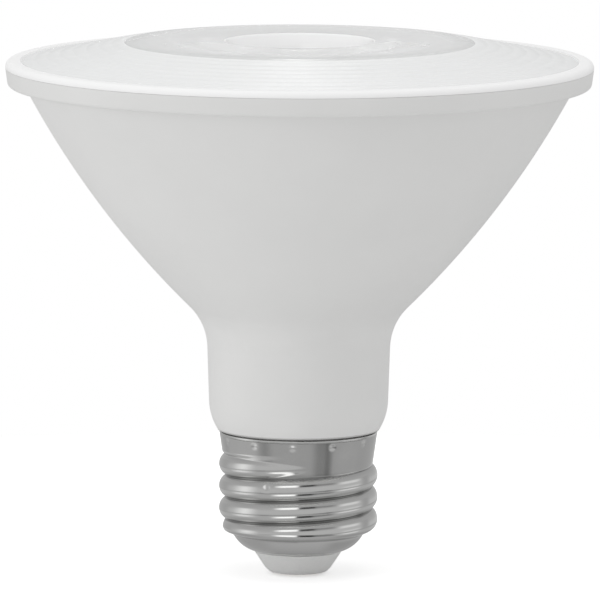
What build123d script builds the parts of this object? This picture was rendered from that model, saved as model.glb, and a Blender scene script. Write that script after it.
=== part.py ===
from build123d import *

import os
from math import atan, atan2, cos, radians, sin, sqrt, tan

# Reflector lamp with a medium Edison screw, base down. Millimetres.
# The origin is the centre of the contact's end face and +Z runs up the axis to the lens.

# Heights, one above the other, from the contact's end face to the top of the lens
contact_proud = 0.35
nose_height = 3.55
shell_height = 19.75
seam_gap = 0.3
neck_height = 17.6
flare_height = 38.9
rim_band_height = 3.2
lens_rise = 4.17

# Housing, one white moulding
rim_overhang = 3.15
rim_band_taper = 0.4
rim_band_chamfer = 0.45
rim_lip = 2.4
rim_seat_depth = 2.2
flare_top_radius = 44.85
flare_bulge_radius = 147.5
flare_wall = 2.4
throat_radius = 15.09
throat_fillet = 10.0
neck_foot_radius = 14.52
neck_bore = 12.6
neck_floor = 2.5
foot_edge_radius = 13.1
foot_round_height = 4.7
spigot_wall = 1.6
spigot_end_gap = 1.2
rail_reach = 2.2
rail_thickness = 1.1
rail_height = 14.0

# Screw shell, rolled from plated sheet, with a right-hand medium Edison thread
thread_pitch = 3.629
thread_crest_radius = 13.0
thread_depth = 1.0
thread_crest_angle = 279.0
thread_steps_per_turn = 8
shell_sheet = 0.35
collar_radius = 12.9
collar_height = 2.0
collar_cone_height = 2.25
collar_edge_roll = 0.15
punch_count = 12
punch_start_angle = 265.8
punch_drop = 1.1
punch_round = 0.65
punch_depth = 0.2
shoulder_height = 1.7
waist_radius = 10.65
bowl_height = 2.7
bowl_round = 4.2
lip_radius = 7.3
lip_width = 0.4

# Insulator and contact at the end of the base
nose_end_radius = 4.55
nose_edge_radius = 5.25
nose_edge_height = 0.75
insulator_flange_radius = 8.6
insulator_flange_height = 1.1
insulator_top_rise = 2.4
contact_flat_radius = 2.2
contact_head_radius = 3.6
contact_head_seat = 0.5
contact_shank_radius = 1.6
contact_upset_radius = 2.4
contact_upset_height = 0.5
contact_bore_floor = 1.0

# Lens, one clear moulding with a collimating optic in its middle
bezel_rise = 0.95
bezel_width = 2.55
bezel_round = 0.4
bezel_step = 0.15
cone_inner_radius = 31.0
cone_inner_rise = 3.6
plateau_radius = 24.5
well_radius = 12.0
well_floor_radius = 11.2
well_depth = 5.5
well_dome = 1.5
lens_wall = 1.6
lens_ring_width = 1.8
optic_root_radius = 24.2
optic_bulge_radius = 45.0
optic_foot_radius = 8.6
optic_foot_gap = 0.4
optic_mouth_radius = 6.2
optic_roof_radius = 5.2
optic_cavity_depth = 8.0
optic_cavity_dome = 1.2

# Heat sink cup and the light source on its floor
deck_rise = 19.0
cup_sheet = 1.2
led_board_radius = 19.0
led_board_thickness = 1.6
led_substrate_width = 13.5
led_substrate_height = 1.0
phosphor_radius = 5.0
phosphor_height = 0.3
screw_count = 3
screw_start_angle = 90.0
screw_circle_radius = 15.0
screw_head_radius = 2.75
screw_head_height = 1.9
screw_shank_radius = 1.45
screw_length = 5.0
screw_slot_width = 0.8
screw_slot_depth = 0.9
pin_spacing = 18.0
pin_radius = 0.4
pin_overlap = 5.0
pin_stub = 0.9
pin_hole_radius = 1.5

# Driver board and what is soldered to it
driver_offset = 4.3
driver_thickness = 1.2
driver_top_gap = 4.5
tongue_length = 14.0
capacitor_radius = 5.0
capacitor_height = 13.0
capacitor_x = -5.6
capacitor_rise = 1.5
capacitor_groove_rise = 2.2
capacitor_groove_depth = 0.35
capacitor_groove_width = 1.0
core_width = 13.0
core_height = 12.0
core_depth = 6.0
core_leg = 3.6
core_end = 2.0
core_side = 2.0
winding_depth = 10.4
core_drop = 1.0
film_width = 5.0
film_height = 9.0
film_depth = 8.0
film_x = 4.5
film_rise = 3.0
film_round = 0.8
choke_radius = 3.0
choke_core_radius = 2.1
choke_flange = 1.2
choke_length = 7.2
choke_x = 3.6
choke_rise = 7.5
fuse_radius = 1.5
fuse_length = 8.5
fuse_x = -4.6
fuse_rise = 3.0
bridge_width = 4.6
bridge_length = 5.2
bridge_depth = 2.2
bridge_rise = 8.0
chip_width = 4.0
chip_length = 5.0
chip_depth = 1.5
chip_rise = 8.0
lead_radius = 0.5
lead_overlap = 3.0
lead_bend_share = 0.45
live_lead_x = 1.6
live_lead_bend_rise = 0.6
live_lead_axis_rise = 2.6
neutral_lead_x = -5.0
neutral_lead_overlap = 4.0

# Clearances
press_gap = 0.1
seat_gap = 0.15
slip_gap = 0.3
solder_gap = 0.05

# Levels worked out from the heights
nose_end_z = contact_proud
lip_z = nose_end_z + nose_height
shell_top_z = lip_z + shell_height
foot_z = shell_top_z + seam_gap
throat_z = foot_z + neck_height
band_foot_z = throat_z + flare_height
rim_z = band_foot_z + rim_band_height
plateau_z = rim_z + lens_rise
rim_seat_z = rim_z - rim_seat_depth
floor_z = foot_z + neck_floor
deck_z = throat_z + deck_rise
deck_top_z = deck_z + cup_sheet
led_board_top_z = deck_top_z + led_board_thickness
substrate_top_z = led_board_top_z + led_substrate_height
phosphor_top_z = substrate_top_z + phosphor_height
optic_foot_z = phosphor_top_z + optic_foot_gap
waist_z = lip_z + bowl_height
thread_foot_z = waist_z + shoulder_height
collar_foot_z = shell_top_z - collar_height
thread_top_z = collar_foot_z - collar_cone_height
spigot_foot_z = thread_foot_z + spigot_end_gap
insulator_top_z = lip_z + insulator_top_rise
driver_top_z = deck_z - driver_top_gap
tongue_foot_z = floor_z - tongue_length

# Radii that one piece takes from another
rim_radius = flare_top_radius + rim_overhang
thread_root_radius = thread_crest_radius - thread_depth
shell_bore = thread_root_radius - shell_sheet
spigot_radius = shell_bore - slip_gap
spigot_bore = spigot_radius - spigot_wall
stub_radius = collar_radius - shell_sheet - slip_gap
lip_hole_radius = lip_radius - lip_width
rim_seat_radius = rim_radius - rim_lip
cone_outer_radius = rim_radius - bezel_width
neck_slope = (throat_radius - neck_foot_radius) / neck_height
driver_front_y = -driver_offset + driver_thickness / 2
driver_back_y = -driver_offset - driver_thickness / 2


def flare_radius(z):
    """Outer radius of the flare at a height: an arc from the throat up to the rim band."""
    rise = band_foot_z - throat_z
    run = flare_top_radius - throat_radius
    chord = sqrt(rise**2 + run**2)
    reach = sqrt(flare_bulge_radius**2 - chord**2 / 4)
    centre_r = (throat_radius + flare_top_radius) / 2 - reach * rise / chord
    centre_z = (throat_z + band_foot_z) / 2 + reach * run / chord
    return centre_r + sqrt(flare_bulge_radius**2 - (z - centre_z) ** 2)


def half_width_in(bore):
    """Half the width of a board at the driver board's place in a round bore."""
    return sqrt((bore - slip_gap) ** 2 - (driver_offset + driver_thickness / 2) ** 2)


deck_bore = flare_radius(deck_z) - flare_wall
mouth_bore = flare_radius(band_foot_z) - flare_wall
cup_slope = (mouth_bore - deck_bore) / (rim_seat_z - deck_z)
driver_half_width = half_width_in(neck_bore)
tongue_half_width = half_width_in(spigot_bore)


def turned(*edges):
    """Solid of revolution about Z of a closed outline drawn as (radius, height)."""
    return revolve(Plane.XZ * make_face(list(edges)), Axis.Z)


def block(width, depth, height, x, y, z):
    """Box centred on x, that starts at y and z and runs to +Y and +Z."""
    low = (Align.CENTER, Align.MIN, Align.MIN)
    return Pos(x, y, z) * Box(width, depth, height, align=low)


def upright(radius, z_low, z_high, x=0, y=0):
    """Cylinder along Z between two heights."""
    low = (Align.CENTER, Align.CENTER, Align.MIN)
    return Pos(x, y, z_low) * Cylinder(radius, z_high - z_low, align=low)


def make_housing():
    neck_low_z = foot_z + foot_round_height
    neck_low = (neck_foot_radius + neck_slope * foot_round_height, neck_low_z)
    foot_edge = (foot_edge_radius, foot_z)
    throat = (throat_radius, throat_z)
    flare_top = (flare_top_radius, band_foot_z)
    foot_round = TangentArc(neck_low, foot_edge, tangent=(-neck_slope, -1))
    neck = Line(neck_low, throat)
    flare = RadiusArc(throat, flare_top, -flare_bulge_radius)
    band_low_radius = rim_radius - rim_band_taper
    rim_and_inside = Polyline(
        flare_top,
        (band_low_radius - rim_band_chamfer, band_foot_z),
        (band_low_radius, band_foot_z + rim_band_chamfer),
        (rim_radius, rim_z),
        (rim_seat_radius, rim_z),
        (rim_seat_radius, rim_seat_z),
        (mouth_bore, rim_seat_z),
        (deck_bore, deck_z),
        (neck_bore, throat_z),
        (neck_bore, floor_z),
        (spigot_bore, floor_z),
        (spigot_bore, spigot_foot_z),
        (spigot_radius, spigot_foot_z),
        (spigot_radius, thread_top_z),
        (stub_radius, collar_foot_z),
        (stub_radius, foot_z),
        foot_edge,
    )
    outline = make_face([foot_round, neck, flare, rim_and_inside])
    throat_corner = outline.vertices().sort_by_distance(throat)[0]
    outline = fillet(throat_corner, throat_fillet)
    shell = revolve(Plane.XZ * outline, Axis.Z)
    return shell + make_rails()


def make_rails():
    """Two pairs of ribs in the neck that guide the edges of the driver board."""
    slot = driver_thickness + 2 * seat_gap
    slot_reach = rail_reach + seat_gap
    width = slot + 2 * rail_thickness
    inner_x = driver_half_width - rail_reach
    length = neck_bore - inner_x
    bore = upright(neck_bore + seat_gap, floor_z, floor_z + rail_height)
    rails = Part()
    for side in (-1, 1):
        centre_x = side * (inner_x + length / 2)
        ribs = block(length, width, rail_height, centre_x, -driver_offset - width / 2, floor_z)
        slot_x = side * (driver_half_width + seat_gap - slot_reach / 2)
        groove = block(slot_reach, slot, rail_height, slot_x, -driver_offset - slot / 2, floor_z)
        rails += (ribs & bore) - groove
    return rails


def thread_station(step, steps, inset):
    """Outline of the thread at one level: a round that leans towards the crest, plain at both ends."""
    full = 0 < step < steps
    throw = thread_depth / 2 if full else 0
    z = thread_foot_z + (thread_top_z - thread_foot_z) * step / steps
    angle = radians(thread_crest_angle + 360 * (z - thread_foot_z) / thread_pitch)
    centre = Pos(throw * cos(angle), throw * sin(angle), z)
    return centre * Circle(thread_root_radius + throw - inset)


def shell_form(inset):
    """Bowl, thread and collar as one solid form, drawn in by an even distance all over."""
    steps = round((thread_top_z - thread_foot_z) / thread_pitch * thread_steps_per_turn)
    thread = loft([thread_station(step, steps, inset) for step in range(steps + 1)], ruled=True)
    root = thread_root_radius - inset
    edge = collar_radius - inset
    collar = turned(
        Polyline(
            (0, thread_top_z),
            (root, thread_top_z),
            (edge, collar_foot_z),
            (edge, shell_top_z - collar_edge_roll),
            (edge - collar_edge_roll, shell_top_z),
            (0, shell_top_z),
            close=True,
        )
    )
    waist = (waist_radius - inset, waist_z)
    lip = (lip_radius - lip_width * inset / shell_sheet, lip_z + inset)
    bowl = turned(
        Polyline(lip, (0, lip_z + inset), (0, thread_foot_z), (root, thread_foot_z), waist),
        RadiusArc(waist, lip, bowl_round - inset),
    )
    return thread + collar + bowl


def make_screw_shell():
    shell = shell_form(0) - shell_form(shell_sheet)
    shell -= upright(lip_hole_radius, lip_z, lip_z + shell_sheet)
    punch_reach = collar_radius - punch_depth + punch_round
    for i in range(punch_count):
        angle = radians(punch_start_angle + 360 * i / punch_count)
        place = Pos(punch_reach * cos(angle), punch_reach * sin(angle), shell_top_z - punch_drop)
        shell -= place * Sphere(punch_round)
    return shell


def make_base_insulator():
    waist_radius_in_lip = lip_hole_radius - press_gap
    flange_z = lip_z + shell_sheet + press_gap
    recess_radius = contact_head_radius + press_gap
    recess_z = nose_end_z + contact_head_seat
    bore = contact_shank_radius + press_gap
    return turned(
        Polyline(
            (bore, recess_z),
            (recess_radius, recess_z),
            (recess_radius, nose_end_z),
            (nose_end_radius, nose_end_z),
            (nose_edge_radius, nose_end_z + nose_edge_height),
            (lip_radius, lip_z),
            (waist_radius_in_lip, lip_z),
            (waist_radius_in_lip, flange_z),
            (insulator_flange_radius, flange_z + insulator_flange_height),
            (insulator_flange_radius, insulator_top_z),
            (bore, insulator_top_z),
            close=True,
        )
    )


def make_centre_contact():
    head_top_z = nose_end_z + contact_head_seat
    upset_top_z = insulator_top_z + contact_upset_height
    lead_bore = lead_radius + seat_gap
    return turned(
        Polyline(
            (0, 0),
            (contact_flat_radius, 0),
            (contact_head_radius, nose_end_z),
            (contact_head_radius, head_top_z),
            (contact_shank_radius, head_top_z),
            (contact_shank_radius, insulator_top_z),
            (contact_upset_radius, insulator_top_z),
            (contact_upset_radius, upset_top_z),
            (lead_bore, upset_top_z),
            (lead_bore, contact_bore_floor),
            (0, contact_bore_floor),
            close=True,
        )
    )


def make_lens():
    cone_outer_z = rim_z + bezel_rise - bezel_step
    cone_inner = (cone_inner_radius, rim_z + cone_inner_rise)
    plateau_edge = (plateau_radius, plateau_z)
    cone_slope = (rim_z + cone_inner_rise - cone_outer_z) / (cone_outer_radius - cone_inner_radius)
    ring_outer = rim_seat_radius - seat_gap
    ring_inner = ring_outer - lens_ring_width
    ring_foot_z = rim_seat_z + cup_sheet + press_gap
    under_outer_z = cone_outer_z + cone_slope * (cone_outer_radius - ring_inner) - lens_wall
    under_inner_z = cone_outer_z + cone_slope * (cone_outer_radius - cone_inner_radius) - lens_wall
    optic_root = (optic_root_radius, plateau_z - lens_wall)
    optic_foot = (optic_foot_radius, optic_foot_z)
    well_floor_z = plateau_z - well_depth
    well_edge = (well_floor_radius, well_floor_z)
    well_top = (0, well_floor_z + well_dome)
    roof_edge = (optic_roof_radius, optic_foot_z + optic_cavity_depth)
    roof_middle = (0, optic_foot_z + optic_cavity_depth - optic_cavity_dome)
    well_dome_radius = (well_floor_radius**2 + well_dome**2) / (2 * well_dome)
    roof_dome_radius = (optic_roof_radius**2 + optic_cavity_dome**2) / (2 * optic_cavity_dome)
    return turned(
        Line(roof_middle, well_top),
        RadiusArc(well_top, well_edge, well_dome_radius),
        Polyline(well_edge, (well_radius, plateau_z), plateau_edge),
        TangentArc(plateau_edge, cone_inner, tangent=(1, 0)),
        Polyline(
            cone_inner,
            (cone_outer_radius, cone_outer_z),
            (cone_outer_radius + bezel_step, rim_z + bezel_rise),
            (rim_radius - bezel_round, rim_z + bezel_rise),
            (rim_radius, rim_z + bezel_rise - bezel_round),
            (rim_radius, rim_z),
            (ring_outer, rim_z),
            (ring_outer, ring_foot_z),
            (ring_inner, ring_foot_z),
            (ring_inner, under_outer_z),
            (cone_inner_radius, under_inner_z),
            optic_root,
        ),
        RadiusArc(optic_root, optic_foot, optic_bulge_radius),
        Polyline(optic_foot, (optic_mouth_radius, optic_foot_z), roof_edge),
        RadiusArc(roof_edge, roof_middle, roof_dome_radius),
    )


def make_heat_sink():
    """Spun cup that hangs from the rim seat by its flange, with the screw and pin holes in its floor."""
    wall = cup_sheet / cos(atan(cup_slope))
    floor_radius = deck_bore - slip_gap
    mouth_radius = mouth_bore - slip_gap
    flange_radius = rim_seat_radius - slip_gap
    flange_top_z = rim_seat_z + cup_sheet
    cup = turned(
        Polyline(
            (0, deck_z),
            (floor_radius, deck_z),
            (mouth_radius, rim_seat_z),
            (flange_radius, rim_seat_z),
            (flange_radius, flange_top_z),
            (mouth_radius - wall + cup_slope * cup_sheet, flange_top_z),
            (floor_radius - wall + cup_slope * cup_sheet, deck_top_z),
            (0, deck_top_z),
            close=True,
        )
    )
    for x, y in screw_places():
        cup -= upright(screw_shank_radius + seat_gap, deck_z, deck_top_z, x, y)
    for x, y in pin_places():
        cup -= upright(pin_hole_radius, deck_z, deck_top_z, x, y)
    return cup


def screw_places():
    """Centres of the board screws on their circle."""
    angles = [radians(screw_start_angle + 360 * i / screw_count) for i in range(screw_count)]
    return [(screw_circle_radius * cos(a), screw_circle_radius * sin(a)) for a in angles]


def pin_places():
    """Centres of the two pins, against the front of the driver board."""
    y = driver_front_y + pin_radius + solder_gap
    return [(side * pin_spacing / 2, y) for side in (-1, 1)]


def make_led_board():
    board = upright(led_board_radius, deck_top_z, led_board_top_z)
    for x, y in screw_places():
        board -= upright(screw_shank_radius + slip_gap, deck_top_z, led_board_top_z, x, y)
    for x, y in pin_places():
        board -= upright(pin_radius + seat_gap, deck_top_z, led_board_top_z, x, y)
    return board


def make_led_substrate():
    corner = -led_substrate_width / 2
    return block(led_substrate_width, led_substrate_width, led_substrate_height, 0, corner, led_board_top_z)


def make_led_phosphor():
    return upright(phosphor_radius, substrate_top_z, phosphor_top_z)


def make_board_screws():
    """Pan-head screws with a plain slot, each through the led board into the floor of the cup."""
    head_top_z = led_board_top_z + screw_head_height
    screws = []
    for x, y in screw_places():
        head = upright(screw_head_radius, led_board_top_z, head_top_z, x, y)
        shank = upright(screw_shank_radius, led_board_top_z - screw_length, led_board_top_z, x, y)
        slot = block(
            2 * screw_head_radius,
            screw_slot_width,
            screw_slot_depth,
            x,
            y - screw_slot_width / 2,
            head_top_z - screw_slot_depth,
        )
        screws.append(head + shank - slot)
    return screws


def make_led_pins():
    low_z = driver_top_z - pin_overlap
    high_z = led_board_top_z + pin_stub
    return [upright(pin_radius, low_z, high_z, x, y) for x, y in pin_places()]


def make_driver_board():
    """Upright board: shoulders on the floor of the neck, and a tongue down into the spigot."""
    body = block(
        2 * driver_half_width, driver_thickness, driver_top_z - floor_z, 0, driver_back_y, floor_z
    )
    tongue = block(
        2 * tongue_half_width, driver_thickness, floor_z - tongue_foot_z, 0, driver_back_y, tongue_foot_z
    )
    return body + tongue


def make_bulk_capacitor():
    low_z = floor_z + capacitor_rise
    y = driver_front_y + capacitor_radius + solder_gap
    can = upright(capacitor_radius, low_z, low_z + capacitor_height, capacitor_x, y)
    groove_low = low_z + capacitor_groove_rise
    groove_high = groove_low + capacitor_groove_width
    ring = upright(capacitor_radius + seat_gap, groove_low, groove_high, capacitor_x, y)
    ring -= upright(capacitor_radius - capacitor_groove_depth, groove_low, groove_high, capacitor_x, y)
    return can - ring


def core_place():
    """Lowest height of the transformer core and its middle in Y."""
    return driver_top_z - core_drop - core_height, driver_front_y + winding_depth / 2


def make_transformer_core():
    """Closed core with a window each side of its middle leg."""
    low_z, middle_y = core_place()
    back_y = middle_y - core_depth / 2
    core = block(core_width, core_depth, core_height, 0, back_y, low_z)
    window = core_width / 2 - core_side - core_leg / 2
    for side in (-1, 1):
        x = side * (core_leg / 2 + window / 2)
        core -= block(window, core_depth, core_height - 2 * core_end, x, back_y, low_z + core_end)
    return core


def make_transformer_winding():
    """Wound bobbin around the middle leg, its back on the driver board."""
    low_z, middle_y = core_place()
    width = core_width - 2 * core_side - 2 * press_gap
    height = core_height - 2 * core_end - 2 * press_gap
    foot_z_in_core = low_z + core_end + press_gap
    winding = block(width, winding_depth, height, 0, driver_front_y, foot_z_in_core)
    leg_width = core_leg + 2 * press_gap
    leg_depth = core_depth + 2 * press_gap
    return winding - block(leg_width, leg_depth, height, 0, middle_y - leg_depth / 2, foot_z_in_core)


def make_film_capacitor():
    box = block(film_width, film_depth, film_height, film_x, driver_front_y, floor_z + film_rise)
    return chamfer(box.faces().sort_by(Axis.Y)[-1].edges(), film_round)


def make_filter_choke():
    """Drum core with its winding between two flanges, standing off the driver board."""
    z = tongue_foot_z + choke_rise
    waist = choke_length - choke_flange
    half = Polyline(
        (0, 0),
        (choke_radius, 0),
        (choke_radius, choke_flange),
        (choke_core_radius, choke_flange),
        (choke_core_radius, waist),
        (choke_radius, waist),
        (choke_radius, choke_length),
        (0, choke_length),
        close=True,
    )
    place = Plane((choke_x, driver_front_y, z), x_dir=(1, 0, 0), z_dir=(0, 1, 0))
    return place * turned(half)


def make_fuse_resistor():
    low_z = tongue_foot_z + fuse_rise
    y = driver_front_y + fuse_radius + solder_gap
    return upright(fuse_radius, low_z, low_z + fuse_length, fuse_x, y)


def make_bridge_rectifier():
    z = tongue_foot_z + bridge_rise
    return block(bridge_width, bridge_depth, bridge_length, 0, driver_back_y - bridge_depth, z)


def make_driver_chip():
    return block(chip_width, chip_depth, chip_length, 0, driver_back_y - chip_depth, floor_z + chip_rise)


def lead(name, points):
    """Wire along straight runs joined by arcs as large as the runs allow."""
    radii = []
    for before, corner, after in zip(points, points[1:], points[2:]):
        run_in = Vector(*corner) - Vector(*before)
        run_out = Vector(*after) - Vector(*corner)
        half_turn = radians(run_in.get_angle(run_out)) / 2
        radii.append(lead_bend_share * min(run_in.length, run_out.length) / tan(half_turn))
    print(name, "bend radii", [round(radius, 2) for radius in radii])
    path = FilletPolyline(*points, radius=radii)
    section = Plane(path @ 0, z_dir=path % 0) * Circle(lead_radius)
    return sweep(section, path=path)


def make_live_lead():
    """From the foot of the tongue over to the axis and down into the hollow shank of the contact."""
    y = driver_front_y + lead_radius + solder_gap
    bend_z = tongue_foot_z + live_lead_bend_rise
    axis_z = insulator_top_z + contact_upset_height + live_lead_axis_rise
    points = [
        (live_lead_x, y, bend_z + lead_overlap),
        (live_lead_x, y, bend_z),
        (0, 0, axis_z),
        (0, 0, contact_bore_floor + press_gap),
    ]
    return lead("live_lead", points)


def make_neutral_lead():
    """Down the back of the tongue and out under the spigot to the bore of the screw shell."""
    y = driver_back_y - lead_radius - solder_gap
    low_z = (thread_foot_z + spigot_foot_z) / 2 - lead_radius / 2
    angle = atan2(y, neutral_lead_x)
    reach = shell_bore - seat_gap
    points = [
        (neutral_lead_x, y, tongue_foot_z + neutral_lead_overlap),
        (neutral_lead_x, y, low_z),
        (reach * cos(angle), reach * sin(angle), low_z),
    ]
    return lead("neutral_lead", points)


pieces = {
    "lens": make_lens(),
    "housing": make_housing(),
    "screw_shell": make_screw_shell(),
    "base_insulator": make_base_insulator(),
    "centre_contact": make_centre_contact(),
    "heat_sink": make_heat_sink(),
    "led_board": make_led_board(),
    "led_substrate": make_led_substrate(),
    "led_phosphor": make_led_phosphor(),
    "board_screws": Compound(children=make_board_screws()),
    "led_pins": Compound(children=make_led_pins()),
    "driver_board": make_driver_board(),
    "bulk_capacitor": make_bulk_capacitor(),
    "transformer_core": make_transformer_core(),
    "transformer_winding": make_transformer_winding(),
    "film_capacitor": make_film_capacitor(),
    "filter_choke": make_filter_choke(),
    "fuse_resistor": make_fuse_resistor(),
    "bridge_rectifier": make_bridge_rectifier(),
    "driver_chip": make_driver_chip(),
    "live_lead": make_live_lead(),
    "neutral_lead": make_neutral_lead(),
}

os.makedirs("parts", exist_ok=True)
for name, piece in pieces.items():
    export_step(piece, f"parts/{name}.step")
    print(name, "volume", round(piece.volume, 1))
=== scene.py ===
import math

import bpy
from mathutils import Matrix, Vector


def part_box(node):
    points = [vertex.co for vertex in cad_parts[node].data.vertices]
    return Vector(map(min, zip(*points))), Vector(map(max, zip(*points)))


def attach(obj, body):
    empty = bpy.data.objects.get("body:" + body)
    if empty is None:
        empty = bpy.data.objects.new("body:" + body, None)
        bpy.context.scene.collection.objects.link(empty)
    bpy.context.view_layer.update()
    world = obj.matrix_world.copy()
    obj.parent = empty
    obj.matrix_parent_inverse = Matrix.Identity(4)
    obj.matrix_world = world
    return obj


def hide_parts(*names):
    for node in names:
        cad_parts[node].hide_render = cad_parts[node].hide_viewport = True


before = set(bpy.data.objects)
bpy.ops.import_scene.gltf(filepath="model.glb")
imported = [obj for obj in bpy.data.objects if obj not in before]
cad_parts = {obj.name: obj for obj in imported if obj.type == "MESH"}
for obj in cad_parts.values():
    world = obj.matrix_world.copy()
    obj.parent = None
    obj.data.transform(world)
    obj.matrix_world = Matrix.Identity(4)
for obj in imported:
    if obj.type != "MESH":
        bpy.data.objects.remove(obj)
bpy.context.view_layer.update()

mm = 0.001
print("frame loaded with", len(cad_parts), "nodes")


# levels and radii of the lamp, read off the CAD pieces, all in mm
def low(node, axis):
    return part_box(node)[0][axis] / mm


def high(node, axis):
    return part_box(node)[1][axis] / mm


rimZ = high("housing", 2)  # top of the white rim, where the lens sits
rimRadius = high("housing", 0)
plateauZ = high("lens", 2)
opticFootZ = low("lens", 2)
shellTopZ = high("screw_shell", 2)
lipZ = low("screw_shell", 2)
noseEndZ = low("base_insulator", 2)
insulatorTopZ = high("base_insulator", 2)
spigotFootZ = low("housing", 2)
deckZ = low("heat_sink", 2)


# sRGB hex to the linear colour that shaders take
def hexColour(text):
    values = [int(text[i:i + 2], 16) / 255 for i in (1, 3, 5)]
    linear = [v / 12.92 if v <= 0.04045 else ((v + 0.055) / 1.055) ** 2.4 for v in values]
    return (*linear, 1.0)


# adds one shader node: settings are its own properties, links its inputs (a socket or a value)
def addNode(tree, kind, links=None, **settings):
    node = tree.nodes.new("ShaderNode" + kind)
    for key, value in settings.items():
        setattr(node, key, value)
    for key, value in (links or {}).items():
        if isinstance(value, bpy.types.NodeSocket):
            tree.links.new(value, node.inputs[key])
        else:
            node.inputs[key].default_value = value
    return node


def newMaterial(name):
    material = bpy.data.materials.new(name)
    material.use_nodes = True
    material.node_tree.nodes.clear()
    return material, material.node_tree


# outline helpers, points are (radius, height) in mm
def rounded(corners, stepDeg=9):  # corners are (r, z, rounding), open path, ends stay sharp
    points = []
    for i, (r, z, radius) in enumerate(corners):
        here = Vector((r, z))
        if radius == 0 or i in (0, len(corners) - 1):
            points.append((r, z))
            continue
        back = (Vector(corners[i - 1][:2]) - here).normalized()
        on = (Vector(corners[i + 1][:2]) - here).normalized()
        turn = math.pi - back.angle(on)
        reach = radius * math.tan(turn / 2)
        centre = here + (back + on).normalized() * radius / math.cos(turn / 2)
        start, end = here + back * reach, here + on * reach
        points += sweep(centre, start, end, stepDeg)
    return points


def sweep(centre, start, end, stepDeg):  # points of the shorter arc round a centre
    a, b = Vector(start) - Vector(centre), Vector(end) - Vector(centre)
    turn = math.atan2(a.x * b.y - a.y * b.x, a.dot(b))
    steps = max(2, math.ceil(abs(math.degrees(turn)) / stepDeg))
    points = []
    for i in range(steps + 1):
        angle = math.atan2(a.y, a.x) + turn * i / steps
        points.append((centre[0] + a.length * math.cos(angle), centre[1] + a.length * math.sin(angle)))
    return points


def bent(start, end, radius, stepDeg=2):  # arc between two points, plus bulges left of the way
    start, end = Vector(start), Vector(end)
    way = end - start
    left = Vector((-way.y, way.x)).normalized()
    depth = math.sqrt(radius ** 2 - (way.length / 2) ** 2)
    centre = (start + end) / 2 - left * math.copysign(depth, radius)
    return sweep(centre, start, end, stepDeg)


def smooth(start, end, x):
    t = min(1, max(0, (x - start) / (end - start)))
    return t * t * (3 - 2 * t)


# spins a closed outline round Z into a mesh piece; press(angle, r, z) may move each point
def spin(name, outline, steps, press=None, sharpDeg=32):
    verts, rings, faces = [], [], []
    area = sum(a[0] * b[1] - b[0] * a[1] for a, b in zip(outline, outline[1:] + outline[:1]))
    if area < 0:
        outline = outline[::-1]  # so that the faces look outwards
    for r, z in outline:
        if r < 1e-6:
            rings.append([len(verts)] * steps)
            verts.append((0, 0, z * mm))
            continue
        rings.append(range(len(verts), len(verts) + steps))
        for i in range(steps):
            angle = 2 * math.pi * i / steps
            x, h = press(angle, r, z) if press else (r, z)
            verts.append((x * mm * math.cos(angle), x * mm * math.sin(angle), h * mm))
    for k, ring in enumerate(rings):
        after = rings[(k + 1) % len(rings)]
        for i in range(steps):
            j = (i + 1) % steps
            face = list(dict.fromkeys((ring[i], ring[j], after[j], after[i])))  # one corner on the axis
            if len(face) > 2:
                faces.append(face)
    mesh = bpy.data.meshes.new(name)
    mesh.from_pydata(verts, [], faces)
    mesh.shade_smooth()
    mesh.set_sharp_from_angle(angle=math.radians(sharpDeg))
    piece = bpy.data.objects.new(name, mesh)
    bpy.context.scene.collection.objects.link(piece)
    print("  ", name, len(faces), "faces")
    return piece


def place(piece, node, material):
    piece.data.materials.append(material)
    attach(piece, "root")
    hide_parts(node)


print("white housing")
housing = {
    "overhang": 3.15,        # rim band over the flare
    "bandHeight": 3.2,
    "bandTaper": 0.4,
    "bandRound": 0.7,
    "flareHeight": 38.9,
    "flareBulge": 147.5,
    "throatRadius": 15.09,
    "throatFillet": 10.0,
    "neckHeight": 17.6,
    "neckFootRadius": 14.52,
    "footEdgeRadius": 13.25,
    "footRoundHeight": 4.7,
    "seatDepth": 2.2,
    "rimLip": 2.4,
    "rimDrop": 0.18,         # the lens closes down over the rim by this
    "wall": 2.4,
    "neckBore": 12.6,
    "neckFloor": 2.5,
    "stubRadius": 12.2,
    "stubDrop": 2.0,         # straight in the collar, then a cone down to the spigot
    "stubConeDrop": 4.25,
    "spigotRadius": 11.35,
    "spigotBore": 9.75,
    "notchDeg": 273.2,       # gate mark under the band, just right of the middle
    "notchRise": 0.4,
    "notchWidth": 0.45,
    "notchHeight": 0.5,
    "notchDepth": 0.18,
    "notchReach": 2.0,       # how far in from the rim it may press
    "steps": 288,
}


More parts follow.
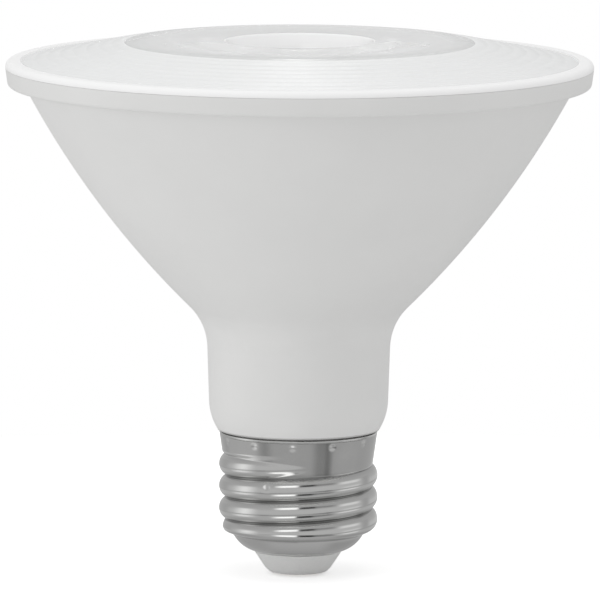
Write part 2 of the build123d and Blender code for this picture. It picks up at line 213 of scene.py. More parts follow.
def housingOutline(h):
    bandZ = rimZ - h["bandHeight"]
    throatZ = bandZ - h["flareHeight"]
    footZ = throatZ - h["neckHeight"]
    flareTop = Vector((rimRadius - h["overhang"], bandZ))
    throat = Vector((h["throatRadius"], throatZ))
    foot = Vector((h["neckFootRadius"], footZ))
    # centre of the flare's long arc, inside the lamp
    way = flareTop - throat
    reach = math.sqrt(h["flareBulge"] ** 2 - (way.length / 2) ** 2)
    flareCentre = (throat + flareTop) / 2 + Vector((-way.y, way.x)).normalized() * reach
    # fillet that touches the neck's side and the flare from outside
    along = (throat - foot).normalized()
    outward = Vector((along.y, -along.x))
    base = foot + outward * h["throatFillet"]
    gap = base - flareCentre
    half = along.dot(gap)
    apart = h["flareBulge"] + h["throatFillet"]
    t = -half - math.sqrt(half ** 2 - gap.length_squared + apart ** 2)
    filletCentre = base + along * t
    neckEnd = filletCentre - outward * h["throatFillet"]
    flareStart = flareCentre + (filletCentre - flareCentre) * h["flareBulge"] / apart
    # rounded foot, tangent to the neck's side
    neckLow = foot + along * h["footRoundHeight"]
    footEdge = Vector((h["footEdgeRadius"], footZ))
    chord = footEdge - neckLow
    lean = chord.angle(-along)
    footRadius = chord.length / (2 * math.sin(lean))
    outer = [(h["stubRadius"], footZ)]
    outer += bent(footEdge, neckLow, -footRadius, 3)
    outer += sweep(filletCentre, neckEnd, flareStart, 2)
    outer += sweep(flareCentre, flareStart, flareTop, 0.8)[1:-1]
    bandLow = rimRadius - h["bandTaper"]
    seatRadius = rimRadius - h["rimLip"]
    seatZ = rimZ - h["seatDepth"]
    mouth = flareTop.x - h["wall"]
    deckBore = flareCentre.x + math.sqrt(h["flareBulge"] ** 2 - (deckZ - flareCentre.y) ** 2) - h["wall"]
    rim = rounded([
        (*outer[-1], 0),
        (*flareTop, 0.5),
        (bandLow, bandZ, h["bandRound"]),
        (rimRadius, rimZ - h["rimDrop"], 0.1),
        (seatRadius, rimZ - h["rimDrop"], 0.1),
        (seatRadius, seatZ, 0),
        (mouth, seatZ, 0.3),
        (deckBore, deckZ, 1.0),
        (h["neckBore"], throatZ, 2.0),
        (h["neckBore"], footZ + h["neckFloor"], 0.4),
        (h["spigotBore"], footZ + h["neckFloor"], 0.3),
        (h["spigotBore"], spigotFootZ, 0.2),
        (h["spigotRadius"], spigotFootZ, 0.3),
        (h["spigotRadius"], shellTopZ - h["stubConeDrop"], 0.3),
        (h["stubRadius"], shellTopZ - h["stubDrop"], 0.3),
        (h["stubRadius"], footZ, 0),
    ])
    return outer + rim[1:-1]


def notch(angle, r, z):  # small flat left by the gate on the band's lower edge
    h = housing
    if r <= rimRadius - h["notchReach"]:
        return r, z
    bandZ = rimZ - h["bandHeight"]
    across = (math.degrees(angle) - h["notchDeg"]) * math.pi / 180 * rimRadius
    up = z - bandZ - h["notchRise"]
    near = math.exp(-(across / h["notchWidth"]) ** 2 - (up / h["notchHeight"]) ** 2)
    return r - h["notchDepth"] * near, z


footZ = rimZ - housing["bandHeight"] - housing["flareHeight"] - housing["neckHeight"]  # over the screw shell
housingPiece = spin("housing_moulding", housingOutline(housing), housing["steps"], notch)


print("clear lens")
lens = {
    "bezelRise": 0.95,
    "bezelWidth": 2.55,
    "bezelStep": 0.15,
    "bezelRound": 1.0,
    "coneInnerRadius": 31.0,
    "coneInnerRise": 3.6,
    "plateauRadius": 24.5,
    "ringStart": 28.6,
    "ringCount": 8,
    "ringHeight": 0.07,
    "wellRadius": 12.0,
    "wellDishRadius": 10.65,  # dished down to here, then steep
    "wellDishDepth": 2.5,
    "wellFloorRadius": 10.4,
    "wellDepth": 5.5,
    "wellDome": 1.5,
    "frostedRim": 0.6,       # the well's frosted finish goes on over its edge
    "wall": 1.6,
    "airGap": 0.02,          # hair of air over the white rim
    "lipStand": 1.3,         # the lip ends this far over the rim's seat
    "lipOuter": 45.45,
    "lipInner": 43.65,
    "opticRoot": 24.2,
    "opticBulge": 45.0,
    "opticFoot": 8.6,
    "mouth": 6.2,
    "roof": 5.2,
    "cavityDepth": 8.0,
    "cavityDome": 1.2,
    "steps": 288,
}


def domeRadius(half, rise):
    return (half ** 2 + rise ** 2) / (2 * rise)


def lensOutline(n):
    coneOuter = Vector((rimRadius - n["bezelWidth"], rimZ + n["bezelRise"] - n["bezelStep"]))
    coneInner = Vector((n["coneInnerRadius"], rimZ + n["coneInnerRise"]))
    slope = (coneInner.y - coneOuter.y) / (coneOuter.x - coneInner.x)
    plateauEdge = Vector((n["plateauRadius"], plateauZ))
    wellFloorZ = plateauZ - n["wellDepth"]
    well = bent((0, wellFloorZ + n["wellDome"]), (n["wellFloorRadius"], wellFloorZ),
                domeRadius(n["wellFloorRadius"], n["wellDome"]), 1)
    wellEdge = rounded([
        (*well[-2], 0),
        (*well[-1], 0.5),
        (n["wellDishRadius"], plateauZ - n["wellDishDepth"], 0.8),
        (n["wellRadius"], plateauZ, 0.5),
        (*plateauEdge, 0),
    ], 12)
    crown = domeRadius(coneInner.x - plateauEdge.x, plateauEdge.y - coneInner.y)
    brow = sweep((plateauEdge.x, plateauEdge.y - crown), plateauEdge, coneInner, 1)
    # moulded rings: shallow cushions with a fine groove between each two
    pitch = (coneOuter.x - n["ringStart"]) / n["ringCount"]
    cone = []
    for i in range(n["ringCount"] * 10 + 1):
        r = n["ringStart"] + pitch * i / 10
        if r < coneInner.x:
            z = plateauEdge.y - crown + math.sqrt(crown ** 2 - (r - plateauEdge.x) ** 2)
        else:
            z = coneOuter.y + slope * (coneOuter.x - r)
        t = i % 10 / 10
        cone.append((r, z - n["ringHeight"] * (1 - 4 * t * (1 - t))))
    brow = [p for p in brow if p[0] < n["ringStart"] - 0.2]
    bezelZ = rimZ + n["bezelRise"]
    sitZ = rimZ - housing["rimDrop"] + n["airGap"]
    lipEndZ = rimZ - housing["seatDepth"] + n["lipStand"]
    underOuter = coneOuter.y + slope * (coneOuter.x - n["lipInner"]) - n["wall"]
    underInner = coneInner.y - n["wall"]
    opticRoot = (n["opticRoot"], plateauZ - n["wall"])
    opticFoot = (n["opticFoot"], opticFootZ)
    under = rounded([
        (*cone[-1], 0),
        (coneOuter.x + n["bezelStep"], bezelZ, 0.12),
        (rimRadius, bezelZ, n["bezelRound"]),
        (rimRadius, sitZ, 0.05),
        (n["lipOuter"], sitZ, 0.05),
        (n["lipOuter"], lipEndZ, 0.2),
        (n["lipInner"], lipEndZ, 0.2),
        (n["lipInner"], underOuter, 0.5),
        (coneInner.x, underInner, 0),
        (*opticRoot, 0),
    ], 12)
    optic = bent(opticRoot, opticFoot, n["opticBulge"], 1)
    roofZ = opticFootZ + n["cavityDepth"]
    cavity = rounded([(*optic[-1], 0), (n["mouth"], opticFootZ, 0.15), (n["roof"], roofZ, 0)])
    roof = bent((n["roof"], roofZ), (0, roofZ - n["cavityDome"]), domeRadius(n["roof"], n["cavityDome"]), 3)
    return well[:-2] + wellEdge + brow[1:] + cone + under[1:] + optic[1:] + cavity[1:] + roof[1:]


lensPiece = spin("lens_moulding", lensOutline(lens), lens["steps"])


print("rolled screw shell")
shell = {
    "pitch": 3.629,
    "rootRadius": 12.0,
    "depth": 1.0,
    "footZ": 8.3,            # height where the crest passes crestDeg
    "crestDeg": 279.0,
    "startDeg": (130, 245),  # the crest grows out of the shoulder
    "startZ": (6.5, 7.95),
    "heelZ": 8.25,           # below this its lower side is pressed to a cone
    "heelDeg": 19.0,
    "endDeg": (1285, 1390),  # where it sinks into the collar
    "crestArc": 2.0,         # full crests, which leave narrow grooves
    "collarDeg": (1255, 1345),  # where the collar comes down over the last groove
    "collarGap": 1.75,       # from the crest up to the collar's foot
    "collarBend": (1.0, 0.5),  # soft where the crest runs out, then crisp
    "bendDeg": (1355, 1390),
    "coneFootRadius": 12.2,
    "coneFootZ": 18.2,
    "collarRadius": 12.93,
    "coneTopZ": 23.3,
    "collarFillet": 0.15,    # where thread and collar meet
    "collarBand": 2.3,       # plain band, stepped more coarsely than the thread
    "grooveDrops": (0.46, 0.36, 0.3, 0.22),  # fine groove below the edge
    "grooveDepth": 0.1,
    "edgeRound": 0.12,
    "threadStep": 0.06,
    "bandStep": 0.11,
    "insideStep": 0.5,
    "sheet": 0.35,
    "waistRadius": 10.75,
    "waistZ": 6.72,
    "shoulderZ": 7.35,
    "bowlRound": 5.2,
    "lipRadius": 7.3,
    "lipHole": 6.9,
    "punchCount": 12,
    "punchDeg": 265.8,
    "punchDrop": 1.2,
    "punchDepth": 0.085,
    "punchSize": 0.42,
    "stakeDeg": 246.5,       # one stray mark on the second crest
    "stakeZ": 15.9,
    "stakeDepth": 0.18,
    "stakeSize": 0.6,
    "steps": 300,
}


def crestZ(turned):
    return shell["footZ"] + shell["pitch"] * (turned - shell["crestDeg"]) / 360


def dent(across, up, size):
    return math.exp(-(across ** 2 + up ** 2) / size ** 2)


def softMax(a, b, reach):  # the larger one, with a fillet where they meet
    reach = min(reach, a + b) + 1e-9
    return max(a, b) + max(0, 1 - abs(a - b) / reach) ** 2 * reach / 4


def threadHeight(off):  # over the root, by the distance from the crest: an arc for it, one for the groove
    half, depth, crest = shell["pitch"] / 2, shell["depth"], shell["crestArc"]
    lean = 2 * math.atan(depth / half)
    groove = half / math.sin(lean) - crest
    if abs(off) < crest * math.sin(lean):
        return depth - crest + math.sqrt(crest ** 2 - off ** 2)
    return groove - math.sqrt(groove ** 2 - (half - abs(off)) ** 2)


def rollThread(angle, r, z):
    deg = math.degrees(angle)
    turns = (z - shell["footZ"]) / shell["pitch"] - (deg - shell["crestDeg"]) / 360
    turned = deg + 360 * round(turns)  # how far along the helix the nearest crest is
    grown = smooth(*shell["startDeg"], turned) * smooth(*shell["startZ"], z)
    sunk = shell["depth"] * smooth(*shell["endDeg"], turned)
    heel = 1 + (z - shell["heelZ"]) * math.tan(math.radians(shell["heelDeg"])) / shell["depth"]
    height = min(threadHeight((turns - round(turns)) * shell["pitch"]), shell["depth"] * heel)
    thread = grown * max(0, height - sunk)
    # the collar opens above the last groove, which climbs with the helix
    lastTurn = deg + 1080
    runsOn = 1 - smooth(*shell["collarDeg"], lastTurn)
    soft, crisp = shell["collarBend"]
    bend = soft + (crisp - soft) * smooth(*shell["bendDeg"], lastTurn)
    feet = [crestZ(lastTurn - back) + shell["collarGap"] for back in (0, 360)]
    upper, lower = [smooth(foot - bend / 2, foot + bend / 2, z) for foot in feet]
    opened = runsOn * upper + (1 - runsOn) * lower
    share = (z - shell["coneFootZ"]) / (shell["coneTopZ"] - shell["coneFootZ"])
    cone = shell["coneFootRadius"] + min(1, share) * (shell["collarRadius"] - shell["coneFootRadius"])
    r += softMax(thread, opened * (cone - shell["rootRadius"]), shell["collarFillet"])
    # punched dents round the collar, and one on the thread
    step = 360 / shell["punchCount"]
    off = (deg - shell["punchDeg"] + step / 2) % step - step / 2
    across = math.radians(off) * r
    r -= shell["punchDepth"] * dent(across, z - (shellTopZ - shell["punchDrop"]), shell["punchSize"])
    across = math.radians(deg - shell["stakeDeg"]) * r
    r -= shell["stakeDepth"] * dent(across, z - shell["stakeZ"], shell["stakeSize"])
    return r, z


def upTo(points, target, step):  # straight run with even stations
    count = math.ceil(abs(target[1] - points[-1][1]) / step)
    r, z = points[-1]
    for i in range(1, count + 1):
        points.append((r + (target[0] - r) * i / count, z + (target[1] - z) * i / count))


def shellOutline(s):
    inner, root, edgeRound = s["sheet"], s["rootRadius"], s["edgeRound"]
    outside = [(s["lipHole"], lipZ)]
    outside += bent((s["lipRadius"], lipZ), (s["waistRadius"], s["waistZ"]), -s["bowlRound"], 4)
    shoulder = rounded([
        (*outside[-1], 0),
        (s["waistRadius"] + 0.1, s["waistZ"] + 0.04, 0),
        (root, s["shoulderZ"], 0.3),
        (root, s["shoulderZ"] + 0.25, 0),
    ])
    outside += shoulder[1:]
    upTo(outside, (root, shellTopZ - s["collarBand"]), s["threadStep"])
    start, down, up, end = [shellTopZ - drop for drop in s["grooveDrops"]]
    upTo(outside, (root, start), s["bandStep"])
    outside += [(root - s["grooveDepth"], down), (root - s["grooveDepth"], up)]
    outside += [(root, end), (root, shellTopZ - edgeRound)]
    edge = sweep((root - edgeRound, shellTopZ - edgeRound), outside[-1], (root - edgeRound, shellTopZ), 15)
    # the inside follows the thread too, in longer steps
    inside = [(root - inner, shellTopZ), (root - inner, shellTopZ - 0.2)]
    upTo(inside, (root - inner, s["footZ"] + 0.6), s["insideStep"])
    upTo(inside, (s["waistRadius"] - inner, s["waistZ"]), s["insideStep"])
    bowl = bent((s["waistRadius"] - inner, s["waistZ"]), (s["lipHole"], lipZ + inner),
                s["bowlRound"] - inner, 8)
    return outside + edge[1:] + inside + bowl[1:]


shellPiece = spin("screw_shell_rolled", shellOutline(shell), shell["steps"], rollThread, 40)


print("insulator and contact")
nose = {
    "endRadius": 4.55,
    "edgeRadius": 5.25,
    "edgeRise": 0.75,
    "lipRadius": 7.28,
    "waist": 6.8,
    "flange": 8.6,
    "recess": 3.7,
    "recessDepth": 0.5,
    "bore": 1.7,
    "steps": 160,
}


def noseOutline(n):
    seat = noseEndZ + n["recessDepth"]
    flangeZ = lipZ + 0.45
    return rounded([
        (n["bore"], seat, 0),
        (n["recess"], seat, 0.1),
        (n["recess"], noseEndZ, 0.12),
        (n["endRadius"] + 0.15, noseEndZ, 0.7),
        (n["edgeRadius"] + 0.2, noseEndZ + n["edgeRise"], 1.2),
        (n["lipRadius"], lipZ - 0.04, 0.12),
        (n["waist"], lipZ - 0.04, 0),
        (n["waist"], flangeZ, 0.1),
        (n["flange"], flangeZ + 1.1, 0.2),
        (n["flange"], insulatorTopZ, 0.2),
        (n["bore"], insulatorTopZ, 0),
    ])


nosePiece = spin("base_insulator_nose", noseOutline(nose), nose["steps"])

rivet = {"flat": 2.2, "head": 3.6, "shank": 1.6, "upset": 2.4, "upsetRise": 0.5, "bore": 0.65, "steps": 96}


def rivetOutline(v):
    seat = noseEndZ + nose["recessDepth"]
    top = insulatorTopZ + v["upsetRise"]
    return rounded([
        (0, 0, 0),
        (v["flat"], 0, 0.8),
        (v["head"], noseEndZ, 0.25),
        (v["head"], seat, 0.05),
        (v["shank"], seat, 0),
        (v["shank"], insulatorTopZ, 0),
        (v["upset"], insulatorTopZ, 0.1),
        (v["upset"], top, 0.2),
        (v["bore"], top, 0.1),
        (v["bore"], 1.0, 0),
        (0, 1.0, 0),
    ])


rivetPiece = spin("centre_contact_rivet", rivetOutline(rivet), rivet["steps"])


print("materials")


# clear polycarbonate, injection moulded: water-clear with a hard gloss in the middle of the lens;
# the rings and the bezel come from an etched tool, so they look milky and hide what is below
def polycarbonate(look):
    material, tree = newMaterial(look["name"])
    spot = addNode(tree, "TexCoord")
    flow = addNode(tree, "TexNoise", {"Vector": spot.outputs["Object"], "Scale": 1 / (look["flowMm"] * mm),
                                      "Detail": 2.0})
    grain = addNode(tree, "TexNoise", {"Vector": spot.outputs["Object"], "Scale": 1 / (look["grainMm"] * mm),
                                       "Detail": 2.0})
    rough = addNode(tree, "MapRange", {"Value": flow.outputs["Fac"], 1: 0.25, 2: 0.75,
                                       3: look["rough"][0], 4: look["rough"][1]})
    bump = addNode(tree, "Bump", {"Height": grain.outputs["Fac"], "Strength": 0.1,
                                  "Distance": look["reliefMm"] * mm})
    shader = addNode(tree, "BsdfPrincipled", {
        "Base Color": hexColour(look["colour"]),
        "Roughness": rough.outputs[0],
        "IOR": 1.586,
        "Transmission Weight": look["clear"],
        "Normal": bump.outputs[0],
    })
    addNode(tree, "OutputMaterial", {"Surface": shader.outputs[0]})
    return material


clearLook = {"name": "clear_polycarbonate_polished", "colour": "#fbfcfc", "clear": 0.95, "rough": (0.02, 0.05),
             "flowMm": 6.0, "grainMm": 2.0, "reliefMm": 0.002}
topLook = {"name": "clear_polycarbonate_hazed", "colour": "#fafbfb", "clear": 0.4, "rough": (0.08, 0.13),
           "flowMm": 6.0, "grainMm": 2.0, "reliefMm": 0.004}
ringLook = {"name": "clear_polycarbonate_ringed", "colour": "#fafbfb", "clear": 0.12, "rough": (0.2, 0.26),
            "flowMm": 6.0, "grainMm": 0.8, "reliefMm": 0.004}
bezelLook = {"name": "clear_polycarbonate_etched", "colour": "#f9f9f9", "clear": 0.03, "rough": (0.5, 0.6),
             "flowMm": 6.0, "grainMm": 0.8, "reliefMm": 0.006}
wellLook = {"name": "clear_polycarbonate_frosted", "colour": "#fdfdfd", "clear": 0.04, "rough": (0.1, 0.14),
            "flowMm": 6.0, "grainMm": 0.8, "reliefMm": 0.002}


# white PBT, injection moulded in a spark-textured tool: even satin white with a fine dry grain
def whitePbt():
    # the seam colour and its height band below are a painted shade line at the foot's edge
    look = {"pale": "#e5e5e4", "dull": "#dfdfde", "seamShade": "#b8b8b7", "seamShadeMm": (0.12, 0.34), "cloudMm": 14.0,
            "grainMm": 0.35, "rough": (0.36, 0.48), "reliefMm": 0.04}
    material, tree = newMaterial("white_pbt_moulded")
    spot = addNode(tree, "TexCoord")
    cloud = addNode(tree, "TexNoise", {"Vector": spot.outputs["Object"], "Scale": 1 / (look["cloudMm"] * mm),
                                       "Detail": 3.0})
    grain = addNode(tree, "TexNoise", {"Vector": spot.outputs["Object"], "Scale": 1 / (look["grainMm"] * mm),
                                       "Detail": 2.0})
    colour = addNode(tree, "Mix", {"Factor": cloud.outputs["Fac"], 6: hexColour(look["pale"]),
                                   7: hexColour(look["dull"])}, data_type="RGBA")
    # painted shade: a dark line painted along the housing's lowest edge, where the seam over the screw shell falls
    # in shade
    axes = addNode(tree, "SeparateXYZ", {0: spot.outputs["Object"]})
    pastSeamShade = addNode(tree, "MapRange", {"Value": axes.outputs["Z"], 1: (footZ + look["seamShadeMm"][0]) * mm,
                                       2: (footZ + look["seamShadeMm"][1]) * mm}, interpolation_type="SMOOTHSTEP")
    withSeamShade = addNode(tree, "Mix", {"Factor": pastSeamShade.outputs[0], 6: hexColour(look["seamShade"]), 7: colour.outputs[2]},
                   data_type="RGBA")
    rough = addNode(tree, "MapRange", {"Value": grain.outputs["Fac"], 3: look["rough"][0], 4: look["rough"][1]})
    bump = addNode(tree, "Bump", {"Height": grain.outputs["Fac"], "Strength": 0.12,
                                  "Distance": look["reliefMm"] * mm})
    shader = addNode(tree, "BsdfPrincipled", {
        "Base Color": withSeamShade.outputs[2],
        "Roughness": rough.outputs[0],
        "IOR": 1.54,
        "Normal": bump.outputs[0],
    })
    addNode(tree, "OutputMaterial", {"Surface": shader.outputs[0]})
    return material


# nickel plate on rolled sheet: a bright mirror, drawn out along the roll in faint streaks
def nickelPlate():
    # the darker grey and its bands below are painted shade in the thread's grooves
    look = {"colour": "#c6c6c5", "grooveShade": "#7c7c7b", "grooveShadeMm": (12.0, 12.22), "grooveShadeZ": (7.6, 19.0),
            "grooveShadeFadeMm": (0.6, 1.2), "streakMm": 0.25, "smearMm": 5.0, "rough": (0.08, 0.19), "reliefMm": 0.02}
    material, tree = newMaterial("nickel_plated_rolled_sheet")
    spot = addNode(tree, "TexCoord")
    stretch = addNode(tree, "Mapping", {"Vector": spot.outputs["Object"],
                                        "Scale": (0.08, 0.08, 1.0)})  # long round the shell, short up it
    streak = addNode(tree, "TexNoise", {"Vector": stretch.outputs[0], "Scale": 1 / (look["streakMm"] * mm),
                                        "Detail": 2.0})
    smear = addNode(tree, "TexNoise", {"Vector": spot.outputs["Object"], "Scale": 1 / (look["smearMm"] * mm),
                                       "Detail": 3.0})
    rough = addNode(tree, "MapRange", {"Value": smear.outputs["Fac"], 3: look["rough"][0], 4: look["rough"][1]})
    bump = addNode(tree, "Bump", {"Height": streak.outputs["Fac"], "Strength": 0.04,
                                  "Distance": look["reliefMm"] * mm})
    # painted shade: the bottoms of the thread's grooves are painted a darker grey, where the narrow grooves fall
    # in shade
    axes = addNode(tree, "SeparateXYZ", {0: spot.outputs["Object"]})
    flat = addNode(tree, "CombineXYZ", {"X": axes.outputs["X"], "Y": axes.outputs["Y"]})
    out = addNode(tree, "VectorMath", {0: flat.outputs[0]}, operation="LENGTH")
    deep = addNode(tree, "MapRange", {"Value": out.outputs["Value"], 1: look["grooveShadeMm"][0] * mm,
                                      2: look["grooveShadeMm"][1] * mm, 3: 1.0, 4: 0.0}, interpolation_type="SMOOTHSTEP")
    (foot, top), (fadeIn, fadeOut) = look["grooveShadeZ"], look["grooveShadeFadeMm"]
    above = addNode(tree, "MapRange", {"Value": axes.outputs["Z"], 1: foot * mm, 2: (foot + fadeIn) * mm},
                    interpolation_type="SMOOTHSTEP")
    below = addNode(tree, "MapRange", {"Value": axes.outputs["Z"], 1: (top - fadeOut) * mm, 2: top * mm,
                                       3: 1.0, 4: 0.0}, interpolation_type="SMOOTHSTEP")
    within = addNode(tree, "Math", {0: above.outputs[0], 1: below.outputs[0]}, operation="MULTIPLY")
    grooveShade = addNode(tree, "Math", {0: deep.outputs[0], 1: within.outputs[0]}, operation="MULTIPLY")
    colour = addNode(tree, "Mix", {"Factor": grooveShade.outputs[0], 6: hexColour(look["colour"]),
                                   7: hexColour(look["grooveShade"])}, data_type="RGBA")
    shader = addNode(tree, "BsdfPrincipled", {
        "Base Color": colour.outputs[2],
        "Metallic": 1.0,
        "Roughness": rough.outputs[0],
        "Normal": bump.outputs[0],
    })
    addNode(tree, "OutputMaterial", {"Surface": shader.outputs[0]})
    return material


# plain finishes inside the lamp: two close colours, a roughness range and a fine relief from one pattern
def patterned(look):
    material, tree = newMaterial(look["name"])
    spot = addNode(tree, "TexCoord")
    size = look["sizeMm"] * mm
    stretch = addNode(tree, "Mapping", {"Vector": spot.outputs["Object"],
                                        "Scale": [1 / (size * k) for k in look.get("stretch", (1, 1, 1))]})
    pattern = addNode(tree, look["pattern"], {"Vector": stretch.outputs[0], "Scale": 1.0})
    cloud = addNode(tree, "TexNoise", {"Vector": stretch.outputs[0], "Scale": 0.13, "Detail": 4.0})
    height = pattern.outputs["Distance" if look["pattern"] == "TexVoronoi" else "Fac"]
    both = addNode(tree, "Math", {0: height, 1: cloud.outputs["Fac"]}, operation="ADD")
    blend = addNode(tree, "MapRange", {"Value": both.outputs[0], 1: 0.4, 2: 1.5})
    colour = addNode(tree, "Mix", {"Factor": blend.outputs[0], 6: hexColour(look["colours"][0]),
                                   7: hexColour(look["colours"][1])}, data_type="RGBA")
    rough = addNode(tree, "MapRange", {"Value": cloud.outputs["Fac"], 1: 0.25, 2: 0.75,
                                       3: look["rough"][0], 4: look["rough"][1]})
    bump = addNode(tree, "Bump", {"Height": height, "Strength": 0.4, "Distance": look["reliefMm"] * mm})
    shader = addNode(tree, "BsdfPrincipled", {
        "Base Color": colour.outputs[2],
        "Metallic": look.get("metallic", 0.0),
        "Roughness": rough.outputs[0],
        "IOR": look.get("ior", 1.5),
        "Normal": bump.outputs[0],
    })
    addNode(tree, "OutputMaterial", {"Surface": shader.outputs[0]})
    return material


insides = {
    "heat_sink": {"name": "white_powder_coat_on_spun_aluminium", "pattern": "TexNoise", "sizeMm": 0.8,
                  "colours": ("#f9f9f7", "#f4f4f1"), "rough": (0.38, 0.5), "reliefMm": 0.02},
    "led_board": {"name": "white_solder_mask_printed", "pattern": "TexNoise", "sizeMm": 0.5,
                  "colours": ("#f6f6f4", "#f0f1ee"), "rough": (0.3, 0.42), "reliefMm": 0.01},
    "led_substrate": {"name": "alumina_fired", "pattern": "TexVoronoi", "sizeMm": 0.15,
                      "colours": ("#eeebe4", "#e2ded5"), "rough": (0.55, 0.7), "reliefMm": 0.005, "ior": 1.76},
    "led_phosphor": {"name": "phosphor_in_silicone_cast", "pattern": "TexNoise", "sizeMm": 0.12,
                     "colours": ("#eecb4a", "#e2b52f"), "rough": (0.25, 0.35), "reliefMm": 0.004, "ior": 1.41},
    "board_screws": {"name": "zinc_plated_steel_turned", "pattern": "TexWave", "sizeMm": 0.2,
                     "colours": ("#bfc2c6", "#a9adb3"), "rough": (0.22, 0.36), "reliefMm": 0.004, "metallic": 1.0},
    "led_pins": {"name": "tinned_wire_drawn", "pattern": "TexNoise", "sizeMm": 0.1, "stretch": (1, 1, 12),
                 "colours": ("#cfcfcc", "#bdbdb9"), "rough": (0.2, 0.34), "reliefMm": 0.003, "metallic": 1.0},
    "driver_board": {"name": "green_mask_on_glass_epoxy", "pattern": "TexBrick", "sizeMm": 0.6,
                     "colours": ("#2b6a40", "#1f5631"), "rough": (0.28, 0.42), "reliefMm": 0.01, "ior": 1.55},
    "bulk_capacitor": {"name": "shrunk_pvc_sleeve", "pattern": "TexNoise", "sizeMm": 0.7,
                       "colours": ("#24282e", "#1a1d22"), "rough": (0.3, 0.42), "reliefMm": 0.02, "ior": 1.53},
    "transformer_core": {"name": "manganese_ferrite_ground", "pattern": "TexNoise", "sizeMm": 0.2,
                         "colours": ("#48484a", "#3a3a3c"), "rough": (0.5, 0.65), "reliefMm": 0.01},
    "transformer_winding": {"name": "yellow_polyester_tape_wound", "pattern": "TexWave", "sizeMm": 1.6,
                            "colours": ("#e3bf3f", "#cfa52c"), "rough": (0.2, 0.32), "reliefMm": 0.04, "ior": 1.6},
    "film_capacitor": {"name": "red_epoxy_dipped", "pattern": "TexNoise", "sizeMm": 1.5,
                       "colours": ("#a03a2a", "#8a2d20"), "rough": (0.2, 0.3), "reliefMm": 0.03, "ior": 1.55},
    "filter_choke": {"name": "nickel_ferrite_pressed", "pattern": "TexVoronoi", "sizeMm": 0.25,
                     "colours": ("#3f3f42", "#313134"), "rough": (0.5, 0.62), "reliefMm": 0.015},
    "fuse_resistor": {"name": "cement_coat_fired", "pattern": "TexVoronoi", "sizeMm": 0.3,
                      "colours": ("#cabfa6", "#b3a78e"), "rough": (0.65, 0.8), "reliefMm": 0.03},
    "bridge_rectifier": {"name": "black_epoxy_transfer_moulded", "pattern": "TexNoise", "sizeMm": 0.12,
                         "colours": ("#2a2a2c", "#202022"), "rough": (0.5, 0.62), "reliefMm": 0.008, "ior": 1.55},
    "live_lead": {"name": "red_pvc_extruded", "pattern": "TexNoise", "sizeMm": 0.3, "stretch": (1, 1, 8),
                  "colours": ("#b3302a", "#9c2620"), "rough": (0.3, 0.4), "reliefMm": 0.006, "ior": 1.53},
    "neutral_lead": {"name": "white_pvc_extruded", "pattern": "TexNoise", "sizeMm": 0.3, "stretch": (1, 1, 8),
                     "colours": ("#ecece8", "#dfdfda"), "rough": (0.3, 0.4), "reliefMm": 0.006, "ior": 1.53},
}
insulatorLook = {"name": "white_urea_moulded", "pattern": "TexNoise", "sizeMm": 0.5,
                 "colours": ("#e9e9e8", "#e1e1e0"), "rough": (0.3, 0.4), "reliefMm": 0.02, "ior": 1.54}
contactLook = {"name": "nickel_plated_brass_turned", "pattern": "TexWave", "sizeMm": 0.25,
               "colours": ("#c9c4ba", "#b9b3a8"), "rough": (0.16, 0.28), "reliefMm": 0.004, "metallic": 1.0}

place(lensPiece, "lens", polycarbonate(clearLook))
for look in (topLook, ringLook, bezelLook, wellLook):
    lensPiece.data.materials.append(polycarbonate(look))
for face in lensPiece.data.polygons:
    out = face.center.xy.length / mm
    overFloor = face.center.z / mm > plateauZ - lens["wellDepth"]
    if out > lens["lipOuter"] + 0.05:
        face.material_index = 3  # bezel
    elif out > lens["ringStart"]:
        face.material_index = 2  # rings
    elif overFloor and lens["wellFloorRadius"] < out < lens["wellRadius"] + lens["frostedRim"]:
        face.material_index = 4  # wall of the well
    elif overFloor and face.normal.z > 0.5:
        face.material_index = 1  # flat round the well, and its floor
place(housingPiece, "housing", whitePbt())
place(shellPiece, "screw_shell", nickelPlate())
place(nosePiece, "base_insulator", patterned(insulatorLook))
place(rivetPiece, "centre_contact", patterned(contactLook))

for node, look in insides.items():
    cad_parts[node].data.materials[0] = patterned(look)
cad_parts["driver_chip"].data.materials[0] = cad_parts["bridge_rectifier"].data.materials[0]


print("studio")
studio = {
    "distance": 1500.0,      # camera to the lamp's middle
    "elevation": 7.48,
    "roll": 0.2,
    "target": (0.18, 0, 45.17),
    "focal": 550.08,
    "sensor": 36,
    "floorRadius": 160.0,
    "floorZ": (-0.01, -2),   # top and underside
    "floorColour": "#f2f2f2",
    "floorSeen": "#f8f8f8",  # paler to the camera, with a little glow
    "floorGlow": 0.45,
    "ambient": 0.72,
    "through": 1.0,          # what shows through the lens
}


def makeCamera(s):
    data = bpy.data.cameras.new("camera")
    data.lens = s["focal"]
    data.sensor_width = s["sensor"]
    data.clip_start = 0.05
    data.clip_end = 20
    camera = bpy.data.objects.new("camera", data)
    bpy.context.scene.collection.objects.link(camera)
    tilt = math.radians(s["elevation"])
    back = Vector((0, -math.cos(tilt), math.sin(tilt)))
    target = Vector(s["target"]) * mm
    camera.location = target + back * s["distance"] * mm
    turn = back.to_track_quat("Z", "Y")
    camera.rotation_euler = turn.to_euler()
    camera.rotation_euler.rotate_axis("Z", math.radians(s["roll"]))
    bpy.context.scene.camera = camera


